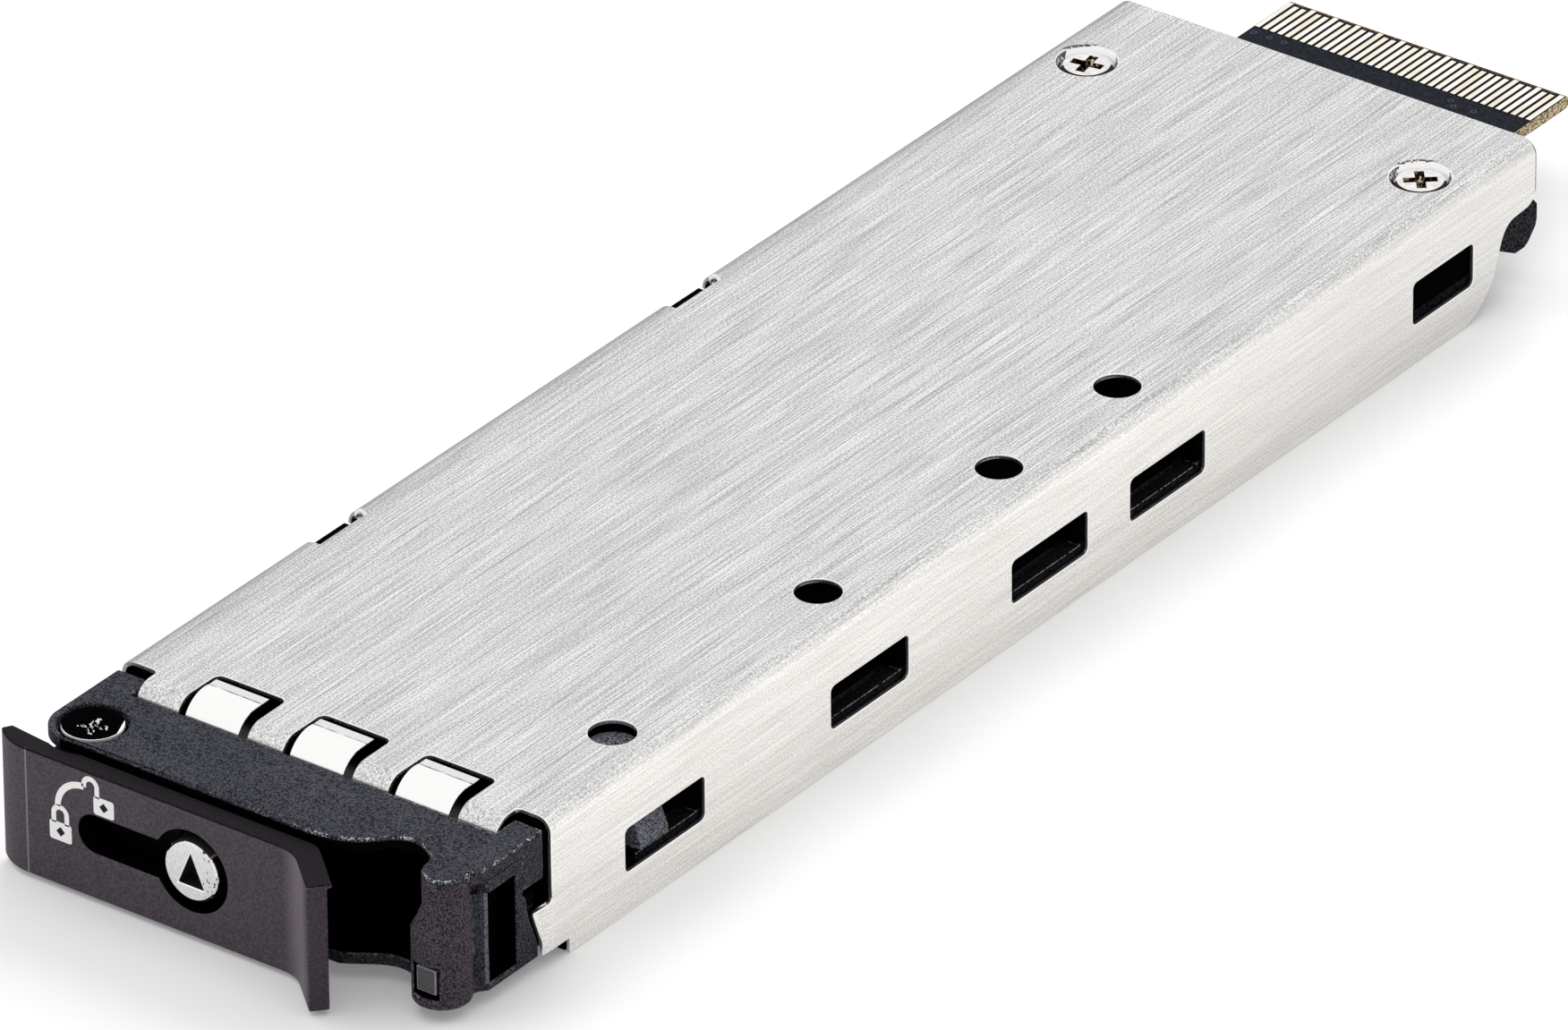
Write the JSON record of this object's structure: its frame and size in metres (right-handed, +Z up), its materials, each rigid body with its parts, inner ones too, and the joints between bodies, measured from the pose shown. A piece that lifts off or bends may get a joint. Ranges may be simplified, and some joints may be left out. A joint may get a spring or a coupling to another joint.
{
  "type": "carrier tray for a gumstick solid state drive",
  "caption": "Slim hot-swap carrier tray for a gumstick solid state drive, with a brushed sheet cover, black bezel, swing handle with lock and a rear edge connector.",
  "frame": {"origin": "on the underside of the tray floor, below the middle of the cover", "axes": "+X to the right seen from the handle end, +Y to the rear along the direction of insertion, +Z up out of the cover"},
  "size_m": [0.0333, 0.1235, 0.0101],
  "materials": {
    "brushed_cover": "lengthwise brushed sheet",
    "bright_spring": "bright rolled spring metal",
    "liner_plastic": "black moulded liner, half gloss",
    "bezel_plastic": "dark blue-grey fine spark texture",
    "handle_plastic": "dark warm grey, smooth matte",
    "retainer_plastic": "grey textured plastic",
    "nickel_screw": "nickel plated",
    "black_screw": "glossy black",
    "bright_lock": "bright plated",
    "steel_cam": "plain zinc plated",
    "board_mask": "dark navy solder mask",
    "drive_mask": "dark green solder mask",
    "gold_contact": "pale gold plated",
    "socket_plastic": "black connector body",
    "chip_plastic": "moulded chip packages",
    "pad_rubber": "soft blue-grey thermal pad",
    "lamp_plastic": "white lamp body",
    "clear_plastic": "smoky clear rod"
  },
  "bodies": {
    "tray": {"tray_base": "liner_plastic", "front_bezel": "bezel_plastic", "cover": "brushed_cover", "contact_spring": "bright_spring", "cover_screw_1": "nickel_screw", "cover_screw_2": "nickel_screw", "board_screw_1": "nickel_screw", "board_screw_2": "nickel_screw", "carrier_board": "board_mask", "edge_contacts_top": "gold_contact", "edge_contacts_bottom": "gold_contact", "drive_socket": "socket_plastic", "socket_contacts": "gold_contact", "drive_board": "drive_mask", "drive_contacts": "gold_contact", "drive_controller": "chip_plastic", "drive_cache": "chip_plastic", "drive_memory_1": "chip_plastic", "drive_memory_2": "chip_plastic", "board_regulator": "chip_plastic", "board_inductor": "chip_plastic", "thermal_pad": "pad_rubber", "drive_retainer": "retainer_plastic", "status_light": "lamp_plastic", "light_pipe": "clear_plastic", "pivot_screw": "black_screw"},
    "handle": {"handle": "handle_plastic"},
    "lock": {"lock_knob": "bright_lock", "lock_cam": "steel_cam", "lock_clip": "steel_cam"}
  },
  "joints": [
    {"name": "handle_swing", "type": "hinge", "parent": "tray", "child": "handle", "pos_m": [-0.013, -0.0546, 0.005], "axis": [0, 0, -1], "range_deg": [0, 75]},
    {"name": "lock_turn", "type": "hinge", "parent": "handle", "child": "lock", "pos_m": [-0.0028, -0.0552, 0.00465], "axis": [0, -1, 0], "range_deg": [0, 90]}
  ]
}
